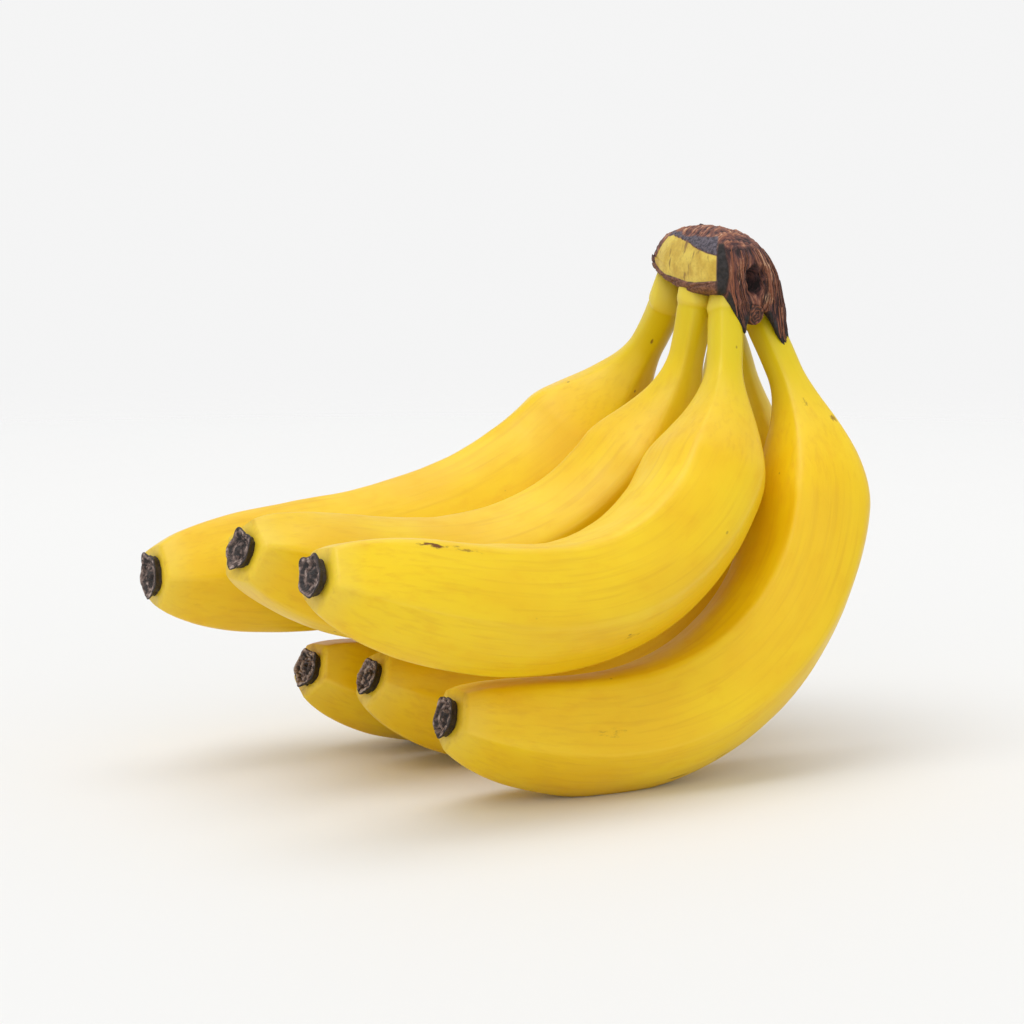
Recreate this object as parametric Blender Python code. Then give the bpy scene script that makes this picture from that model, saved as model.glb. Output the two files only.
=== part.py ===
"""A bunch of bananas: six fingers in two rows under one dried crown.

Units are metres and +Z is up. The fingers hang from the crown, bend round and
point along -X, and the lower row rests on the floor at z = 0. Run it with
blender --background --python part.py, or from Blender's text editor.
"""
import math

import bmesh
import bpy
from mathutils import Matrix, Vector

MM = 0.001
GAP = 0.3 * MM            # clear space between neighbouring pieces

# One finger's skin
SIDES = 20                # edges round a finger
STEPS = 32                # rings along a finger
FINE_STEPS = 200          # steps in which a centreline is traced
RIDGES = 5                # soft long edges of a banana's skin
RIDGE_DEPTH = 0.04        # how far the flats lie inside the ridges, of the radius
NECK_RADIUS = 5.2 * MM
SHOULDER_START = 0.08     # where the neck begins to swell, of the length
SHOULDER_END = 0.28       # where the finger is full
TAPER_START = 0.55        # where the finger begins to draw in towards its tip
TAPER_POWER = 4.0
TAPER_ROUNDNESS = 0.67
TIP_RADIUS = 5.8 * MM
SPLAY_END = 0.45          # where a neck's sideways lean has died out
PRESSED = 0.6 * MM        # how far soft skin gives where a finger rests on the floor

# Dried flower remains on each tip
END_SIDES = 15
END_RADIUS = 5.9 * MM
END_THICK = 2.4 * MM
END_DISH = 1.0 * MM
END_CORNERS = 5

# The crown that joins the necks
CROWN_SIDES = 48
CROWN_MIDDLE_Y = -1 * MM
CROWN_SQUARENESS = 5.0    # power of the outline: 2 is an ellipse, more is squarer
CROWN_SKEW = 0.17         # how far the back of the block is set over to +X
CROWN_FLARE = 0.06        # how much more the +X face is set over than the -X face
UNDERSIDE_FALL = 0.41     # how steeply the underside falls towards +X
LEFT_FLAP = (68.0 * MM, 7.5 * MM, 9.0 * MM)      # middle, half width, length
RIGHT_FLAP = (81.0 * MM, 6.0 * MM, 8.0 * MM)
HOLLOW_CENTRE = Vector((71.5 * MM, -21.0 * MM, 139 * MM))
HOLLOW_SIZE = Vector((3.2 * MM, 3.6 * MM, 6.0 * MM))

# Each finger, in mm and degrees: the root of its neck inside the crown and the point
# where its bend starts; the compass heading and sideways lean of the bend; the pitch
# at the neck and at the tip; how early and how evenly the bend is shared out; the
# length; the sideways splay of the neck; and the full radius.
FINGERS = {
    "upper_back": dict(
        root=(69.5, 13.5, 136.5), neck=(70.5, 16.5, 129.5), heading=-8, lean=1,
        pitch=(-97, 2), early=0.50, even=0.05, length=199, splay=-36, radius=19.5),
    "upper_middle": dict(
        root=(64, -3.5, 138), neck=(64, -4, 131), heading=-3, lean=16,
        pitch=(-89, 19), early=0.73, even=0.0, length=195, splay=7, radius=17.8),
    "upper_front": dict(
        root=(66, -15, 136), neck=(65.5, -15, 128.5), heading=1, lean=-20,
        pitch=(-73, 14), early=0.82, even=-0.39, length=202, splay=-1, radius=17.8),
    "lower_back": dict(
        root=(87.5, 9, 127), neck=(88.5, 10, 119.5), heading=-6, lean=7,
        pitch=(-104, 19), early=0.87, even=0.25, length=209, splay=-25, radius=16.5),
    "lower_middle": dict(
        root=(75.5, -2, 132), neck=(75.5, -2.5, 124.5), heading=-11, lean=3,
        pitch=(-118, 24), early=0.78, even=0.52, length=203, splay=-1, radius=17.5),
    "lower_front": dict(
        root=(82, -12, 132), neck=(82, -12, 126), heading=-6, lean=-4,
        pitch=(-97, 15), early=0.98, even=0.0, length=211, splay=29, radius=17.6),
}


def clear_scene():
    for old in list(bpy.data.objects):
        bpy.data.objects.remove(old, do_unlink=True)


def make_material(name, colour, roughness):
    material = bpy.data.materials.new(name)
    material.use_nodes = True
    shader = material.node_tree.nodes["Principled BSDF"]
    shader.inputs["Base Color"].default_value = (*colour, 1.0)
    shader.inputs["Roughness"].default_value = roughness
    shader.inputs["Metallic"].default_value = 0.0
    return material


def ease(x):
    x = min(max(x, 0.0), 1.0)
    return x * x * (3 - 2 * x)


def skin_radius(finger, t):
    """Radius of the ridges at t, from 0 at the neck to 1 at the tip."""
    full = finger["radius"] * MM
    swell = ease((t - SHOULDER_START) / (SHOULDER_END - SHOULDER_START))
    radius = NECK_RADIUS + (full - NECK_RADIUS) * swell
    draw = min(max((t - TAPER_START) / (1 - TAPER_START), 0.0), 0.9999)
    drawn_in = 1 - (1 - draw ** TAPER_POWER) ** TAPER_ROUNDNESS
    return radius - (full - TIP_RADIUS) * drawn_in


def direction(finger, t):
    """Unit tangent at t and the finger's level sideways axis."""
    heading = math.radians(finger["heading"])
    lean = math.radians(finger["lean"])
    ahead = Vector((-math.cos(heading), -math.sin(heading), 0))
    level = Vector((math.sin(heading), -math.cos(heading), 0))
    upward = math.cos(lean) * Vector((0, 0, 1)) + math.sin(lean) * level
    side = math.cos(lean) * level - math.sin(lean) * Vector((0, 0, 1))
    start, end = finger["pitch"]
    even = finger["even"]
    share = even * t + (1 - even) * (1 - math.cos(math.pi * t ** finger["early"])) / 2
    pitch = math.radians(start + (end - start) * share)
    splay = math.radians(finger["splay"]) * (1 - ease(t / SPLAY_END))
    forward = math.cos(pitch) * ahead + math.sin(pitch) * upward
    return math.cos(splay) * forward + math.sin(splay) * side, side


def centreline(finger):
    """Points and tangents from neck to tip, even in length."""
    point = Vector(finger["neck"]) * MM
    stride = finger["length"] * MM / FINE_STEPS
    stations = []
    for step in range(FINE_STEPS + 1):
        tangent, _ = direction(finger, step / FINE_STEPS)
        if step:
            point = point + stride * (tangent + stations[-1][1]).normalized()
        stations.append((point, tangent))
    return stations


def station_at(stations, t):
    """Point and tangent at t, between two stations of the centreline."""
    place = min(t * FINE_STEPS, FINE_STEPS - 0.001)
    before, after = stations[int(place)], stations[int(place) + 1]
    part = place - int(place)
    return before[0].lerp(after[0], part), before[1].lerp(after[1], part).normalized()


def settle(finger):
    """Lower a resting finger's neck until its skin presses into the floor."""
    stations = centreline(finger)
    heights = [point.z - skin_radius(finger, step / FINE_STEPS)
               for step, (point, _) in enumerate(stations)]
    lowest = min(heights)
    x, y, z = finger["neck"]
    finger["neck"] = (x, y, z - (lowest + PRESSED) / MM)


def ring_matrix(point, tangent, side):
    """Axes of a ring: X outward on the bend's outer side, Y sideways, Z along."""
    side = (side - side.dot(tangent) * tangent).normalized()
    outer = side.cross(tangent).normalized()
    turn = Matrix((outer, side, tangent)).transposed().to_4x4()
    return Matrix.Translation(point) @ turn


def grow(name, sides, rings):
    """Extrude a closed skin through rings, functions of the angle round it."""
    bm = bmesh.new()
    angle = bm.verts.layers.float.new("angle")
    bmesh.ops.create_circle(bm, cap_ends=True, segments=sides, radius=1.0)
    verts = list(bm.verts)
    for vert in verts:
        vert[angle] = math.atan2(vert.co.y, vert.co.x)
        vert.co = rings[0](vert[angle])
    cap = bm.faces[:]
    for number, ring in enumerate(rings[1:]):
        grown = bmesh.ops.extrude_face_region(bm, geom=cap)["geom"]
        if number:
            bmesh.ops.delete(bm, geom=cap, context="FACES_ONLY")
        cap = [part for part in grown if isinstance(part, bmesh.types.BMFace)]
        for vert in cap[0].verts:
            vert.co = ring(vert[angle])
    bmesh.ops.recalc_face_normals(bm, faces=bm.faces)
    mesh = bpy.data.meshes.new(name)
    bm.to_mesh(mesh)
    bm.free()
    return mesh


def add_object(name, mesh, material, parent, sharp=50):
    part = bpy.data.objects.new(name, mesh)
    mesh.materials.append(material)
    mesh.shade_smooth()
    mesh.set_sharp_from_angle(angle=math.radians(sharp))
    part.parent = parent
    bpy.context.scene.collection.objects.link(part)
    return part


def skin_ring(matrix, radius, ridge_depth):
    """One ring of a finger: round with five soft ridges."""
    def place(angle):
        reach = radius * (1 + ridge_depth / 2 * math.cos(RIDGES * angle))
        return matrix @ Vector((reach * math.cos(angle), reach * math.sin(angle), 0))
    return place


def finger_rings(finger, grow_by=0.0):
    """Rings of a finger's skin, from inside the crown down to its blunt tip."""
    stations = centreline(finger)
    tangent, side = direction(finger, 0.0)
    root = Vector(finger["root"]) * MM + Vector((0, 0, grow_by))
    rings = [skin_ring(ring_matrix(root, tangent, side), NECK_RADIUS + grow_by, 0.0)]
    end = 1 - END_THICK / (finger["length"] * MM)
    for step in range(STEPS + 1):
        t = end * step / STEPS
        point, tangent = station_at(stations, t)
        matrix = ring_matrix(point, tangent, side)
        depth = RIDGE_DEPTH * ease(t / SHOULDER_END)
        rings.append(skin_ring(matrix, skin_radius(finger, t) + grow_by, depth))
    return rings


def flatten_on_floor(mesh):
    """Level the skin that presses into the floor, as one flat patch."""
    bm = bmesh.new()
    bm.from_mesh(mesh)
    whole = bm.verts[:] + bm.edges[:] + bm.faces[:]
    bmesh.ops.bisect_plane(bm, geom=whole, plane_co=(0, 0, 0), plane_no=(0, 0, 1), clear_inner=True)
    bmesh.ops.holes_fill(bm, edges=[edge for edge in bm.edges if edge.is_boundary], sides=0)
    bmesh.ops.recalc_face_normals(bm, faces=bm.faces)
    bm.to_mesh(mesh)
    bm.free()


def make_finger(row, finger, material, parent):
    mesh = grow(row + "_banana", SIDES, finger_rings(finger))
    flatten_on_floor(mesh)
    return add_object(row + "_banana", mesh, material, parent)


def end_ring(matrix, radius, along, corner):
    """One ring of a dried flower end: five blunt corners and an uneven edge."""
    def place(angle):
        wave = corner * math.cos(END_CORNERS * angle) + 0.04 * math.sin(2 * angle + 1)
        reach = radius * (1 + wave)
        rise = along + 0.08 * radius * math.sin(3 * angle)
        return matrix @ Vector((reach * math.cos(angle), reach * math.sin(angle), rise))
    return place


def make_blossom_end(row, finger, material, parent):
    point, tangent = station_at(centreline(finger), 1.0)
    side = direction(finger, 1.0)[1]
    foot = point - (END_THICK - GAP) * tangent
    matrix = ring_matrix(foot, tangent, side)
    tall = END_THICK - GAP
    rings = [
        skin_ring(matrix, 0.92 * END_RADIUS, 0.0),
        end_ring(matrix, 0.98 * END_RADIUS, 0.6 * tall, 0.03),
        end_ring(matrix, END_RADIUS, tall, 0.07),
        end_ring(matrix, 0.72 * END_RADIUS, tall + 0.1 * END_THICK, 0.05),
        end_ring(matrix, 0.45 * END_RADIUS, tall - END_DISH, 0.03),
        end_ring(matrix, 0.15 * END_RADIUS, tall - 0.6 * END_DISH, 0.0),
    ]
    mesh = grow(row + "_blossom_end", END_SIDES, rings)
    return add_object(row + "_blossom_end", mesh, material, parent, sharp=35)


def flap_drop(x):
    """How far the two pointed flaps hang down at x along the front face."""
    drops = [0.0]
    for middle, half_width, length in (LEFT_FLAP, RIGHT_FLAP):
        drops.append(length * (1 - abs(x - middle) / half_width))
    return max(drops)


def crown_ring(left, right, half_y, height, fall, flap_share=0.0, lean_out=0.0):
    """One level of the crown (mm): a skewed, squarish outline that falls to +X."""
    middle_x = (left + right) / 2 * MM
    half_x = (right - left) / 2 * MM
    def place(angle):
        c, s = math.cos(angle), math.sin(angle)
        power = CROWN_SQUARENESS
        reach = (abs(c) ** power + abs(s) ** power) ** (-1 / power)
        y = half_y * MM * reach * s
        x = middle_x + half_x * reach * c + (CROWN_SKEW + CROWN_FLARE * c) * y
        front = ease((-reach * s - 0.75) / 0.2)
        drop = flap_share * front * flap_drop(x)
        z = height * MM - fall * (x - left * MM) - drop
        return Vector((x, CROWN_MIDDLE_Y + y - lean_out * drop, z))
    return place


def neck_cutter(row, finger, parent):
    """A neck grown by the clear gap, which makes its socket in the crown."""
    rings = finger_rings(finger, grow_by=GAP)[:9]
    cutter = bpy.data.objects.new(row + "_socket", grow(row + "_socket", SIDES, rings))
    cutter.parent = parent
    cutter.hide_render = True
    cutter.display_type = "WIRE"
    bpy.context.scene.collection.objects.link(cutter)
    return cutter


def hollow_cutter(parent):
    """An egg-shaped cutter for the hollow in the torn front face."""
    bm = bmesh.new()
    bmesh.ops.create_icosphere(bm, subdivisions=2, radius=1.0)
    bmesh.ops.scale(bm, vec=HOLLOW_SIZE, verts=bm.verts)
    bmesh.ops.translate(bm, vec=HOLLOW_CENTRE, verts=bm.verts)
    mesh = bpy.data.meshes.new("hollow")
    bm.to_mesh(mesh)
    bm.free()
    cutter = bpy.data.objects.new("hollow", mesh)
    cutter.parent = parent
    cutter.hide_render = True
    cutter.display_type = "WIRE"
    bpy.context.scene.collection.objects.link(cutter)
    return cutter


def make_crown(material, parent):
    rings = [
        crown_ring(69, 83, 8, 131.0, UNDERSIDE_FALL),
        crown_ring(63, 89, 16, 132.0, UNDERSIDE_FALL, 0.15),
        crown_ring(60, 92, 19, 133.6, UNDERSIDE_FALL, 1.0, 0.25),
        crown_ring(59, 92.5, 19.5, 136.5, UNDERSIDE_FALL, 0.6, 0.15),
        crown_ring(59, 89.5, 19.5, 142.5, 0.20),
        crown_ring(61.5, 84.5, 17, 148.0, 0.13),
        crown_ring(66, 79, 11.5, 150.8, 0.10),
        crown_ring(70, 75, 4, 150.6, 0.10),
    ]
    mesh = grow("crown", CROWN_SIDES, rings)
    crown = add_object("crown", mesh, material, parent, sharp=40)
    cutters = [neck_cutter(row, finger, parent) for row, finger in FINGERS.items()]
    cutters.append(hollow_cutter(parent))
    for cutter in cutters:
        cut = crown.modifiers.new(cutter.name, "BOOLEAN")
        cut.operation = "DIFFERENCE"
        cut.solver = "EXACT"
        cut.object = cutter
    return crown


def centre_over_origin(parent, parts):
    """Put the middle of the bunch's footprint box over the origin."""
    xs = [vert.co.x for part in parts for vert in part.data.vertices]
    ys = [vert.co.y for part in parts for vert in part.data.vertices]
    parent.location = (-(min(xs) + max(xs)) / 2, -(min(ys) + max(ys)) / 2, 0)


def build():
    clear_scene()
    bunch = bpy.data.objects.new("bunch", None)
    bpy.context.scene.collection.objects.link(bunch)
    peel = make_material("peel", (0.80, 0.50, 0.02), 0.45)
    dried = make_material("dried_blossom", (0.05, 0.035, 0.03), 0.85)
    bark = make_material("dried_crown", (0.11, 0.05, 0.03), 0.8)
    parts = []
    for row, finger in FINGERS.items():
        if row.startswith("lower"):
            settle(finger)
        parts.append(make_finger(row, finger, peel, bunch))
        parts.append(make_blossom_end(row, finger, dried, bunch))
    parts.append(make_crown(bark, bunch))
    centre_over_origin(bunch, parts)


build()
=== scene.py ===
"""A bunch of bananas: six fingers in two rows that hang from one dried crown.

Metres, +Z up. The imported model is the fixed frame, and every piece here stands for one
of its nodes or sits on one. The sections follow the bunch as it grows: the fingers, the
dried flower ends on their tips, the crown that holds them, then the table and the light.
"""
import bisect
import math
import random

import bmesh
import bpy
import numpy as np
from mathutils import Matrix, Vector, noise
from mathutils.bvhtree import BVHTree


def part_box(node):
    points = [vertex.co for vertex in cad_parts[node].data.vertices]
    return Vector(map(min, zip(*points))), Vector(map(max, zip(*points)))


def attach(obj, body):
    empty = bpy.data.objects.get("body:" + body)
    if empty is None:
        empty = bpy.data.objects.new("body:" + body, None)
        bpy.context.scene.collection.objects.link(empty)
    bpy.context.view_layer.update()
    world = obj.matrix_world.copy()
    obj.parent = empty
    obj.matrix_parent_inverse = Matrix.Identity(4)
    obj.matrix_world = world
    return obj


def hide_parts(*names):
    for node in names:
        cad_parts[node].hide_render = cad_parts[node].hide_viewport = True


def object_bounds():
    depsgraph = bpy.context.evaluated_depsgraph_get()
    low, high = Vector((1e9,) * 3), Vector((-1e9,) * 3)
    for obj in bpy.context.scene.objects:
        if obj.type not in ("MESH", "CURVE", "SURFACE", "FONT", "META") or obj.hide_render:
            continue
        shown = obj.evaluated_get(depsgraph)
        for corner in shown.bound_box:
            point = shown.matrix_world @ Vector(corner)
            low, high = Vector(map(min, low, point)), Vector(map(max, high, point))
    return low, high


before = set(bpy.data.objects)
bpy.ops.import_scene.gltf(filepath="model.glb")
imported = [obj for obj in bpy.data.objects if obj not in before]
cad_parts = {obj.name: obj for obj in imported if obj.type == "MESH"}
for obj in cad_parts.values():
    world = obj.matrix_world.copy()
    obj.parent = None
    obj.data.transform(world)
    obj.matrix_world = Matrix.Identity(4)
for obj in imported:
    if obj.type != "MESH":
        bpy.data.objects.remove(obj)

cad_low, cad_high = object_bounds()

# --------------------------------------------------------------------------------------
# The bananas: six ripe fingers, each one closed tube of thick waxy peel. The peel grows
# in five soft ridges, from a slim green-yellow neck to a blunt tip, and the lower three
# fingers lie pressed a little flat on the table.
# --------------------------------------------------------------------------------------
MM = 0.001
PEEL_SIDES = 100          # twenty to each ridge
PEEL_RINGS = 230
RIDGES = 5
RIDGE_NECK = 0.36         # share of a true pentagon in the section, from neck to tip
RIDGE_BODY = 0.60
RIDGE_TIP = 0.90
RIDGE_SOFT = 0.065        # half width of the rounding on a ridge, in radians
NECK_SOFTER = 1.7         # times that on the neck
RIDGE_PROUD = 0.095       # how far a ridge stands out, so that a section keeps its size
RIDGE_TIP_START = 0.84    # where the ridges begin to sharpen towards the tip, over 0.14
RIDGE_TWIST = 7           # degrees that the ridges wind to and fro
EDGE_SHARP = 12           # how closely the painted ridge highlight keeps to the top of a ridge
EDGE_SOFT = 0.02
SWELLS = [(0.34, 21), (0.10, 8)]      # uneven growth: height and size, in mm
SWELLS_APART = 60         # so that no two fingers share their unevenness
NECK_RADIUS = 5.2
NECK_COLLAR = 0.2         # how much a neck widens where it leaves the crown
COLLAR_LONG = 0.6         # length of that widening, down to a lip and a crease under it
LIP_PROUD = 0.28
CREASE_DEEP = 0.15
ROOT_RADIUS = 3.8         # of the neck's end, which is raised a little into the crown
ROOT_RAISED = 1.5
TIP_RADIUS = 5.8
SHOULDER = (0.08, 0.28)   # where a neck begins to swell and where the finger is full
TAPER_START = 0.55
TAPER_POWER = 4.0
TAPER_ROUNDNESS = 0.67
SPLAY_END = 0.45
PRESSED = 0.6             # how far the peel gives on the table
CENTRE_STEPS = 200
END_THICK = 2.4           # of the dried flower end that covers the tip

# Each finger, in mm and degrees, as the frame has it: root of the neck, start of the
# bend, heading and lean, pitch at neck and tip, how early and how evenly it bends,
# length, splay of the neck, full radius, and how far its ridges are turned.
FINGERS = {
    "upper_back": dict(
        root=(69.5, 13.5, 136.5), neck=(70.5, 16.5, 129.5), heading=-8, lean=1,
        pitch=(-97, 2), early=0.50, even=0.05, length=199, splay=-36, radius=19.5, turn=24),
    "upper_middle": dict(
        root=(64, -3.5, 138), neck=(64, -4, 131), heading=-3, lean=16,
        pitch=(-89, 19), early=0.73, even=0.0, length=195, splay=7, radius=17.8, turn=-14),
    "upper_front": dict(
        root=(66, -15, 136), neck=(65.5, -15, 128.5), heading=1, lean=-20,
        pitch=(-73, 14), early=0.82, even=-0.39, length=202, splay=-1, radius=17.8, turn=-6),
    "lower_back": dict(
        root=(87.5, 9, 127), neck=(88.5, 10, 119.5), heading=-6, lean=7,
        pitch=(-104, 19), early=0.87, even=0.25, length=209, splay=-25, radius=16.5, turn=8),
    "lower_middle": dict(
        root=(75.5, -2, 132), neck=(75.5, -2.5, 124.5), heading=-11, lean=3,
        pitch=(-118, 24), early=0.78, even=0.52, length=203, splay=-1, radius=17.5, turn=14),
    "lower_front": dict(
        root=(82, -12, 132), neck=(82, -12, 126), heading=-6, lean=-4,
        pitch=(-97, 15), early=0.98, even=0.0, length=211, splay=29, radius=17.6, turn=-4),
}


def ease(x):
    x = min(max(x, 0.0), 1.0)
    return x * x * (3 - 2 * x)


def blend(a, b, share):
    return a + (b - a) * share


def direction(finger, t):
    """Unit tangent at t, from 0 at the neck to 1 at the tip, and the level side axis."""
    heading = math.radians(finger["heading"])
    lean = math.radians(finger["lean"])
    ahead = Vector((-math.cos(heading), -math.sin(heading), 0))
    level = Vector((math.sin(heading), -math.cos(heading), 0))
    upward = math.cos(lean) * Vector((0, 0, 1)) + math.sin(lean) * level
    side = math.cos(lean) * level - math.sin(lean) * Vector((0, 0, 1))
    even = finger["even"]
    share = even * t + (1 - even) * (1 - math.cos(math.pi * t ** finger["early"])) / 2
    pitch = math.radians(blend(*finger["pitch"], share))
    splay = math.radians(finger["splay"]) * (1 - ease(t / SPLAY_END))
    forward = math.cos(pitch) * ahead + math.sin(pitch) * upward
    return math.cos(splay) * forward + math.sin(splay) * side, side


def peel_radius(finger, t):
    full = finger["radius"]
    swell = ease((t - SHOULDER[0]) / (SHOULDER[1] - SHOULDER[0]))
    draw = min(max((t - TAPER_START) / (1 - TAPER_START), 0.0), 0.9999)
    drawn_in = 1 - (1 - draw ** TAPER_POWER) ** TAPER_ROUNDNESS
    return blend(NECK_RADIUS, full, swell) - (full - TIP_RADIUS) * drawn_in


def collar(finger, t):
    """How far the neck stands proud by the crown, down to a fine lip and a crease."""
    down = t * finger["length"]
    lip = math.exp(-((down - COLLAR_LONG) / 0.7) ** 2)
    crease = math.exp(-((down - COLLAR_LONG - 1.5) / 0.8) ** 2)
    return NECK_COLLAR * (1 - ease(down / COLLAR_LONG)) + LIP_PROUD * lip - CREASE_DEEP * crease


def centreline(finger):
    """Points and tangents from neck to tip; a lower finger is let down onto the table."""
    point = Vector(finger["neck"])
    stride = finger["length"] / CENTRE_STEPS
    stations = []
    for step in range(CENTRE_STEPS + 1):
        tangent, _ = direction(finger, step / CENTRE_STEPS)
        if step:
            point = point + stride * (tangent + stations[-1][1]).normalized()
        stations.append((point, tangent))
    if finger["resting"]:
        lowest = min(point.z - peel_radius(finger, step / CENTRE_STEPS)
                     for step, (point, _) in enumerate(stations))
        drop = Vector((0, 0, lowest + PRESSED))
        stations = [(point - drop, tangent) for point, tangent in stations]
    return stations


def station_at(stations, t):
    place = min(t * CENTRE_STEPS, CENTRE_STEPS - 0.001)
    before, after = stations[int(place)], stations[int(place) + 1]
    part = place - int(place)
    return before[0].lerp(after[0], part), before[1].lerp(after[1], part).normalized()


def ring_matrix(point, tangent, side):
    """Axes of a ring: X to the outer side of the bend, Y sideways, Z along."""
    side = (side - side.dot(tangent) * tangent).normalized()
    outer = side.cross(tangent).normalized()
    turn = Matrix((outer, side, tangent)).transposed().to_4x4()
    return Matrix.Translation(point) @ turn


def grow(bm, sides, rings):
    """Extrude a closed skin through rings, functions that place a vertex by its angle."""
    angle = bm.verts.layers.float.get("angle") or bm.verts.layers.float.new("angle")
    made = bmesh.ops.create_circle(bm, cap_ends=True, segments=sides, radius=1.0)["verts"]
    for vert in made:
        vert[angle] = math.atan2(vert.co.y, vert.co.x)
        rings[0](vert, vert[angle])
    cap = list({face for vert in made for face in vert.link_faces})
    for number, ring in enumerate(rings[1:]):
        grown = bmesh.ops.extrude_face_region(bm, geom=cap)["geom"]
        if number:
            bmesh.ops.delete(bm, geom=cap, context="FACES_ONLY")
        cap = [part for part in grown if isinstance(part, bmesh.types.BMFace)]
        for vert in cap[0].verts:
            ring(vert, vert[angle])


def pentagon(angle, share, soft):
    """Reach of a section with five soft ridges: 1 on the ridges, less between them."""
    half = math.pi / RIDGES
    off = (angle + half) % (2 * half) - half
    off = math.sqrt(off * off + soft * soft)
    return 1 - share * (1 - math.cos(half) / math.cos(half - min(off, half)))


def finished(bm, name, material, node=None):
    """Turn a bmesh into a smooth piece of the bunch, which may stand for a CAD node."""
    bmesh.ops.recalc_face_normals(bm, faces=bm.faces)
    mesh = bpy.data.meshes.new(name)
    bm.to_mesh(mesh)
    bm.free()
    mesh.materials.append(material)
    mesh.shade_smooth()
    piece = bpy.data.objects.new(name, mesh)
    bpy.context.scene.collection.objects.link(piece)
    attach(piece, "root")
    if node:
        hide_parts(node)


def feed(tree, node, inputs):
    """Feed a node's inputs, in order or by name, with values, sockets or nodes."""
    sockets = [socket for socket in node.inputs if socket.enabled]
    if isinstance(inputs, dict):
        named = {socket.name: socket for socket in reversed(sockets)}
        pairs = [(named[name], value) for name, value in inputs.items()]
    else:
        pairs = zip(sockets, inputs)
    for socket, value in pairs:
        if isinstance(value, bpy.types.Node):
            value = next(output for output in value.outputs if output.enabled)
        if isinstance(value, bpy.types.NodeSocket):
            tree.links.new(value, socket)
        else:
            socket.default_value = value


def add_node(tree, kind, inputs=(), **settings):
    """Add a shader node with its settings and links."""
    made = tree.nodes.new("ShaderNode" + kind)
    for name, value in settings.items():
        setattr(made, name, value)
    feed(tree, made, inputs)
    return made


def linear(code):
    """An sRGB hex colour as the linear colour that the shader takes."""
    parts = [int(code[i:i + 2], 16) / 255 for i in (1, 3, 5)]
    return (*[p / 12.92 if p <= 0.04045 else ((p + 0.055) / 1.055) ** 2.4 for p in parts], 1.0)


RGBA = {"data_type": "RGBA"}
SMOOTH = {"interpolation_type": "SMOOTHSTEP"}


def grown_pattern(tree, place, size, stretch=1.0, detail=3.0, rough=0.55):
    """Uneven growth of a real size in mm, stretched along the third axis."""
    across = 1 / (size * MM)
    scale = (across, across, across / stretch)
    scaled = add_node(tree, "Mapping", {"Vector": place, "Scale": scale})
    return add_node(tree, "TexNoise", {
        "Vector": scaled, "Scale": 1.0, "Detail": detail, "Roughness": rough})


# Ripe banana peel: a waxy skin over soft cells. That gives a satin gloss, a warm glow
# where a little light goes in, long faint fibres, freckles and a few brown scuffs.
# "straight" is where a point of the skin would lie if its finger were straight.
peel = bpy.data.materials.new("banana_peel")
peel.use_nodes = True
tree = peel.node_tree
skin = tree.nodes["Principled BSDF"]
straight = add_node(tree, "Attribute", attribute_name="straight").outputs["Vector"]
along = add_node(tree, "Attribute", attribute_name="along").outputs["Fac"]
edge = add_node(tree, "Attribute", attribute_name="edge").outputs["Fac"]
patches = grown_pattern(tree, straight, 24, stretch=1.8)
fibres = grown_pattern(tree, straight, 1.5, stretch=26)
mottle = grown_pattern(tree, straight, 5, stretch=2.2, detail=4, rough=0.6)

# Golden in patches, a little deeper in the mottling and the fibres, with a painted highlight in paler
# yellow along the top of every ridge.
share = add_node(tree, "MapRange", [patches, 0.34, 0.66], **SMOOTH)
colour = add_node(tree, "Mix", [share, linear("#EBBE01"), linear("#F0CB0A")], **RGBA)
share = add_node(tree, "MapRange", [mottle, 0.50, 0.75, 0.0, 0.40], **SMOOTH)
colour = add_node(tree, "Mix", [share, colour, linear("#E4B003")], **RGBA)
share = add_node(tree, "MapRange", [fibres, 0.45, 0.75, 0.0, 0.28], **SMOOTH)
colour = add_node(tree, "Mix", [share, colour, linear("#D39C06")], **RGBA)
# the painted highlight: paler yellow along the top of each ridge, all round the finger
share = add_node(tree, "MapRange", [edge, 0.55, 1.0, 0.0, 0.30], **SMOOTH)
colour = add_node(tree, "Mix", [share, colour, linear("#F5D24A")], **RGBA)

# Greener up the neck, palest at the crown, and a thin brown edge round the tip.
uneven = add_node(tree, "MapRange", [patches, 0.3, 0.7, -0.03, 0.03], **SMOOTH)
neck = add_node(tree, "Math", [along, uneven], operation="ADD")
share = add_node(tree, "MapRange", [neck, 0.02, 0.22, 0.80, 0.0], **SMOOTH)
colour = add_node(tree, "Mix", [share, colour, linear("#D6C30C")], **RGBA)
share = add_node(tree, "MapRange", [along, 0.004, 0.010, 0.70, 0.0], **SMOOTH)
colour = add_node(tree, "Mix", [share, colour, linear("#E4CE48")], **RGBA)
uneven = add_node(tree, "MapRange", [mottle, 0.3, 0.7, -0.004, 0.003], **SMOOTH)
tip = add_node(tree, "Math", [along, uneven], operation="ADD")
share = add_node(tree, "MapRange", [tip, 0.945, 0.985, 0.0, 0.35], **SMOOTH)
colour = add_node(tree, "Mix", [share, colour, linear("#E2C850")], **RGBA)
share = add_node(tree, "MapRange", [tip, 0.987, 0.995, 0.0, 0.60], **SMOOTH)
colour = add_node(tree, "Mix", [share, colour, linear("#B48A24")], **RGBA)

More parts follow.
